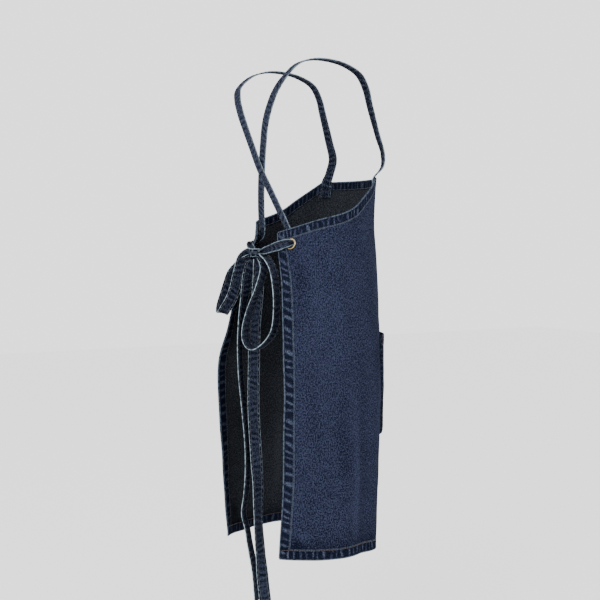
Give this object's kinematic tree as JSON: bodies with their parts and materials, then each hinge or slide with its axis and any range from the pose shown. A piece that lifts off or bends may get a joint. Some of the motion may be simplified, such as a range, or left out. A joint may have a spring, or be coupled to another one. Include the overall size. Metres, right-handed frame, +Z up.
{
  "type": "cross-back denim apron, worn and tied",
  "caption": "Cross-back work apron in washed indigo denim with a wrap-round skirt, front patch pocket, brass grommets and straps tied in a bow behind.",
  "frame": {"origin": "midway between the two places where the straps cross the wearer's shoulders", "axes": "+Z up along the wearer's spine, the wearer faces -Y, the wearer's left is +X"},
  "size_m": [0.3555, 0.3367, 1.142],
  "materials": {
    "denim": "washed indigo twill, outer face blue, inner face charcoal",
    "strap_denim": "washed indigo twill with worn pale edges",
    "brass": "satin antique brass"
  },
  "bodies": {
    "root": {"apron_panel": "denim", "hem_bottom": "denim", "hem_bib": "denim", "hem_side_right": "denim", "hem_side_left": "denim", "facing_arm_right": "denim", "facing_arm_left": "denim", "pocket": "denim", "strap_right": "strap_denim", "strap_left": "strap_denim", "knot": "strap_denim", "bow_loop_right": "strap_denim", "bow_loop_left": "strap_denim", "tail_right": "strap_denim", "tail_left": "strap_denim", "grommet_right": "brass", "grommet_left": "brass"}
  },
  "joints": []
}
